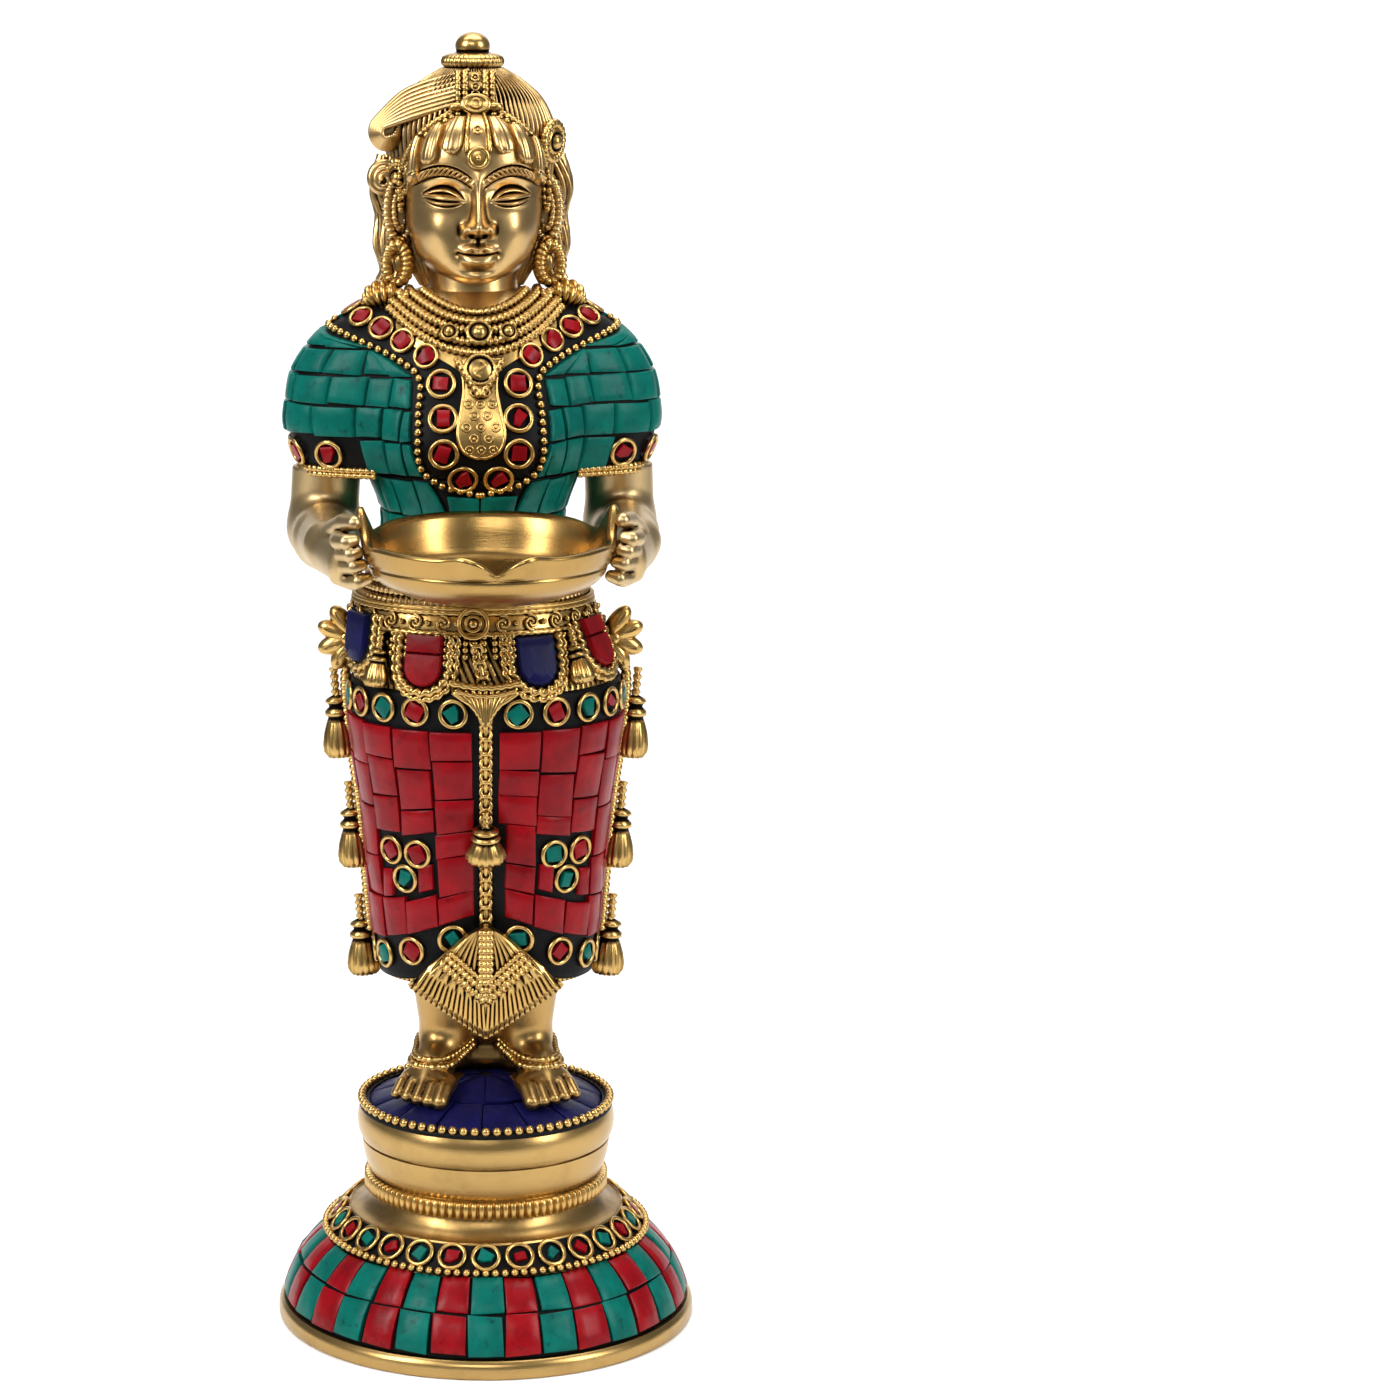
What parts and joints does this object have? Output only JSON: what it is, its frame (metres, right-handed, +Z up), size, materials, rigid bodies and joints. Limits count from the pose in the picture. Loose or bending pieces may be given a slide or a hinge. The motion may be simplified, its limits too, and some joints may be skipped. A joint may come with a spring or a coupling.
{
  "type": "deepalakshmi lamp",
  "caption": "Brass deepalakshmi lamp: a standing figure holds an open oil bowl in both hands on a turned pedestal, set with coral, turquoise and lapis tiles in black lac",
  "frame": {"origin": "centre of the underside of the round foot", "axes": "+Z up the lamp, +X to the viewer's right, the figure faces -Y"},
  "size_m": [0.1, 0.1303, 0.305],
  "materials": {
    "antique_brass": "hand finished, with dark patina in the recesses",
    "coral_stone": "polished",
    "turquoise_stone": "polished",
    "lapis_stone": "polished",
    "black_lac": "satin",
    "plated_steel": "plain"
  },
  "bodies": {
    "root": {"pedestal": "antique_brass", "ribbed_collar": "antique_brass", "foot_lac": "black_lac", "foot_coral_tiles": "coral_stone", "foot_turquoise_tiles": "turquoise_stone", "foot_rings": "antique_brass", "foot_coral_chips": "coral_stone", "foot_turquoise_chips": "turquoise_stone", "foot_beads": "antique_brass", "drum_beads": "antique_brass", "drum_lac": "black_lac", "lapis_tiles": "lapis_stone", "fixing_stud": "plated_steel", "fixing_washer": "plated_steel", "fixing_nut": "plated_steel", "feet": "antique_brass", "anklets": "antique_brass", "figure_skirt": "antique_brass", "skirt_lac": "black_lac", "skirt_coral_tiles": "coral_stone", "skirt_rings": "antique_brass", "skirt_coral_chips": "coral_stone", "skirt_turquoise_chips": "turquoise_stone", "girdle": "antique_brass", "swags": "antique_brass", "girdle_coral": "coral_stone", "girdle_lapis": "lapis_stone", "girdle_tassels": "antique_brass", "hip_bows": "antique_brass", "front_chain": "antique_brass", "apron": "antique_brass", "side_tassels": "antique_brass", "figure_torso": "antique_brass", "blouse_lac": "black_lac", "blouse_tiles": "turquoise_stone", "yoke_beads": "antique_brass", "yoke_rings": "antique_brass", "yoke_chips": "coral_stone", "sleeve_rings": "antique_brass", "sleeve_chips": "coral_stone", "bodice_panel": "antique_brass", "necklaces": "antique_brass", "neck_bosses": "antique_brass", "pendant": "antique_brass", "shoulder_curls": "antique_brass", "left_arm": "antique_brass", "right_arm": "antique_brass", "oil_bowl": "antique_brass", "head": "antique_brass", "crown_finial": "antique_brass", "parting_strip": "antique_brass", "hairline_beads": "antique_brass", "earrings": "antique_brass", "ear_flowers": "antique_brass", "plait": "antique_brass"}
  },
  "joints": []
}
